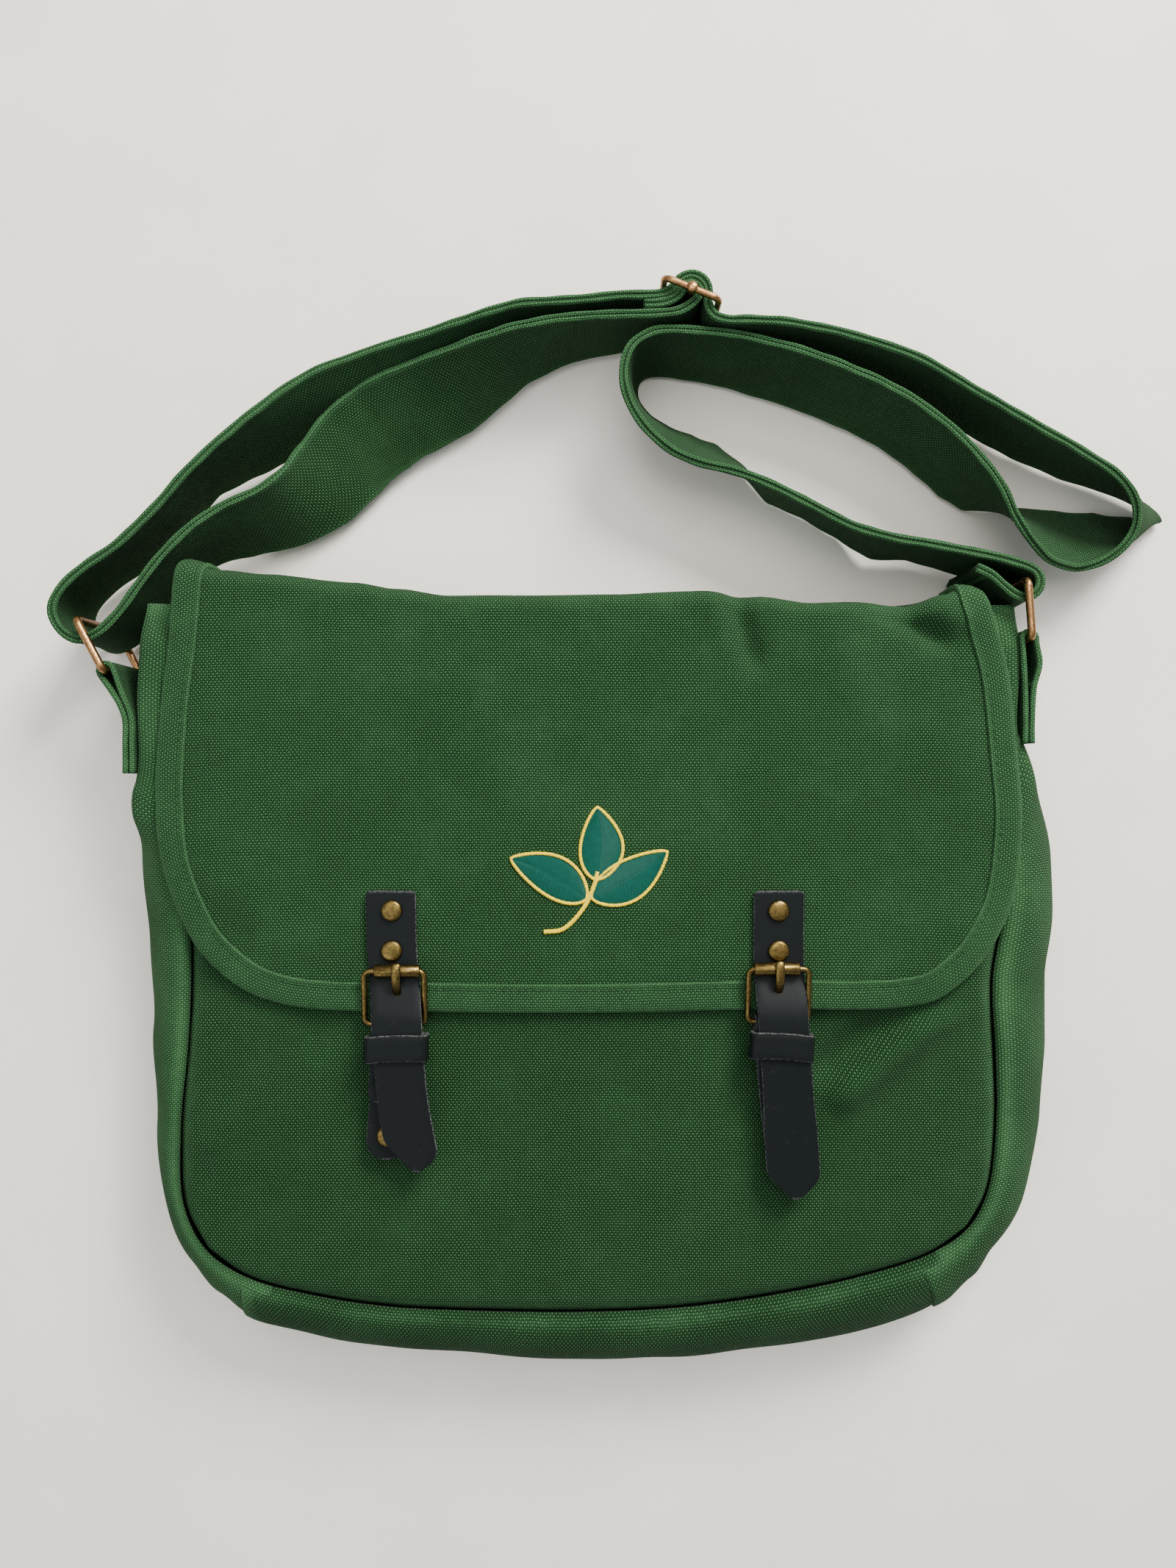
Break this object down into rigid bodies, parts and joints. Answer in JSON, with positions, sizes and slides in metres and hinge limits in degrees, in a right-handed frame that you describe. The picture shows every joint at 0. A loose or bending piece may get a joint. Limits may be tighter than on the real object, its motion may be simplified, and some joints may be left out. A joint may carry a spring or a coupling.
{
  "type": "messenger bag",
  "caption": "Canvas messenger bag lying on its back, with a bound flap, buckled leather closures and a folded adjustable shoulder strap.",
  "frame": {"origin": "point on the back panel's outer face, near the bag's centre, on the surface that the bag lies on", "axes": "+X to the bag's right as seen from the front, +Y towards its top and strap, +Z out of its front"},
  "size_m": [0.437, 0.4173, 0.054],
  "materials": {
    "canvas": "washed plain weave, worn pale at edges and seams",
    "embroidery": "satin stitch with a yellow outline",
    "strap_leather": "smooth top, raw cut edges",
    "antique_brass": "antiqued, worn bright on edges",
    "copper_brass": "antiqued, slightly coppery"
  },
  "bodies": {
    "bag": {"back_panel": "canvas", "front_panel": "canvas", "side_gusset_left": "canvas", "side_gusset_right": "canvas", "bottom_gusset": "canvas", "top_fold": "canvas", "ring_tab_left": "canvas", "ring_tab_right": "canvas", "shoulder_strap": "canvas", "snap_stud_left": "antique_brass", "snap_stud_right": "antique_brass"},
    "flap": {"flap_panel": "canvas", "flap_binding": "canvas", "emblem": "embroidery", "flap_strap_left": "strap_leather", "rivet_upper_left": "antique_brass", "rivet_lower_left": "antique_brass", "anchor_tab_left": "strap_leather", "fold_rivet_left": "antique_brass", "snap_socket_left": "antique_brass", "snap_cap_left": "antique_brass", "flap_strap_right": "strap_leather", "rivet_upper_right": "antique_brass", "rivet_lower_right": "antique_brass", "anchor_tab_right": "strap_leather", "fold_rivet_right": "antique_brass", "snap_socket_right": "antique_brass", "snap_cap_right": "antique_brass"},
    "buckle_left": {"buckle_frame_left": "antique_brass"},
    "roller_left": {"buckle_roller_left": "antique_brass"},
    "prong_left": {"buckle_prong_left": "antique_brass"},
    "keeper_left": {"keeper_left": "strap_leather"},
    "buckle_right": {"buckle_frame_right": "antique_brass"},
    "roller_right": {"buckle_roller_right": "antique_brass"},
    "prong_right": {"buckle_prong_right": "antique_brass"},
    "keeper_right": {"keeper_right": "strap_leather"},
    "ring_left": {"ring_left": "copper_brass"},
    "ring_right": {"ring_right": "copper_brass"},
    "slider": {"slider_frame": "copper_brass", "slider_bar": "copper_brass"}
  },
  "joints": [
    {"name": "flap_hinge", "type": "hinge", "parent": "bag", "child": "flap", "pos_m": [0, 0.1492, 0.044], "axis": [-1, 0, 0], "range_deg": [0, 120]},
    {"name": "buckle_left_lift", "type": "hinge", "parent": "flap", "child": "buckle_left", "pos_m": [-0.0752, -0.0134, 0.0468], "axis": [1, 0, 0], "range_deg": [0, 5]},
    {"name": "prong_left_lift", "type": "hinge", "parent": "buckle_left", "child": "prong_left", "pos_m": [-0.0752, -0.0134, 0.0468], "axis": [1, 0, 0], "range_deg": [0, 5]},
    {"name": "roller_left_spin", "type": "hinge", "parent": "buckle_left", "child": "roller_left", "pos_m": [-0.0752, 0.0066, 0.0499], "axis": [1, 0, 0], "continuous": true},
    {"name": "keeper_left_slide", "type": "slide", "parent": "flap", "child": "keeper_left", "axis": [0.1, -0.995, 0], "range_m": [0, 0.004]},
    {"name": "buckle_right_lift", "type": "hinge", "parent": "flap", "child": "buckle_right", "pos_m": [0.067, -0.0126, 0.0468], "axis": [1, 0, 0], "range_deg": [0, 5]},
    {"name": "prong_right_lift", "type": "hinge", "parent": "buckle_right", "child": "prong_right", "pos_m": [0.067, -0.0126, 0.0468], "axis": [1, 0, 0], "range_deg": [0, 5]},
    {"name": "roller_right_spin", "type": "hinge", "parent": "buckle_right", "child": "roller_right", "pos_m": [0.067, 0.0074, 0.0499], "axis": [1, 0, 0], "continuous": true},
    {"name": "keeper_right_slide", "type": "slide", "parent": "flap", "child": "keeper_right", "axis": [0.08, -0.9968, 0], "range_m": [0, 0.004]},
    {"name": "ring_left_swing", "type": "hinge", "parent": "bag", "child": "ring_left", "pos_m": [-0.1847, 0.1183, 0.0238], "axis": [0, 0, 1], "range_deg": [-5, 5]},
    {"name": "ring_right_swing", "type": "hinge", "parent": "bag", "child": "ring_right", "pos_m": [0.1624, 0.1303, 0.0238], "axis": [0, 0, 1], "range_deg": [-5, 5]},
    {"name": "slider_rock", "type": "hinge", "parent": "bag", "child": "slider", "pos_m": [0.0353, 0.2606, 0.0238], "axis": [0, 0, 1], "range_deg": [-4, 4]}
  ]
}
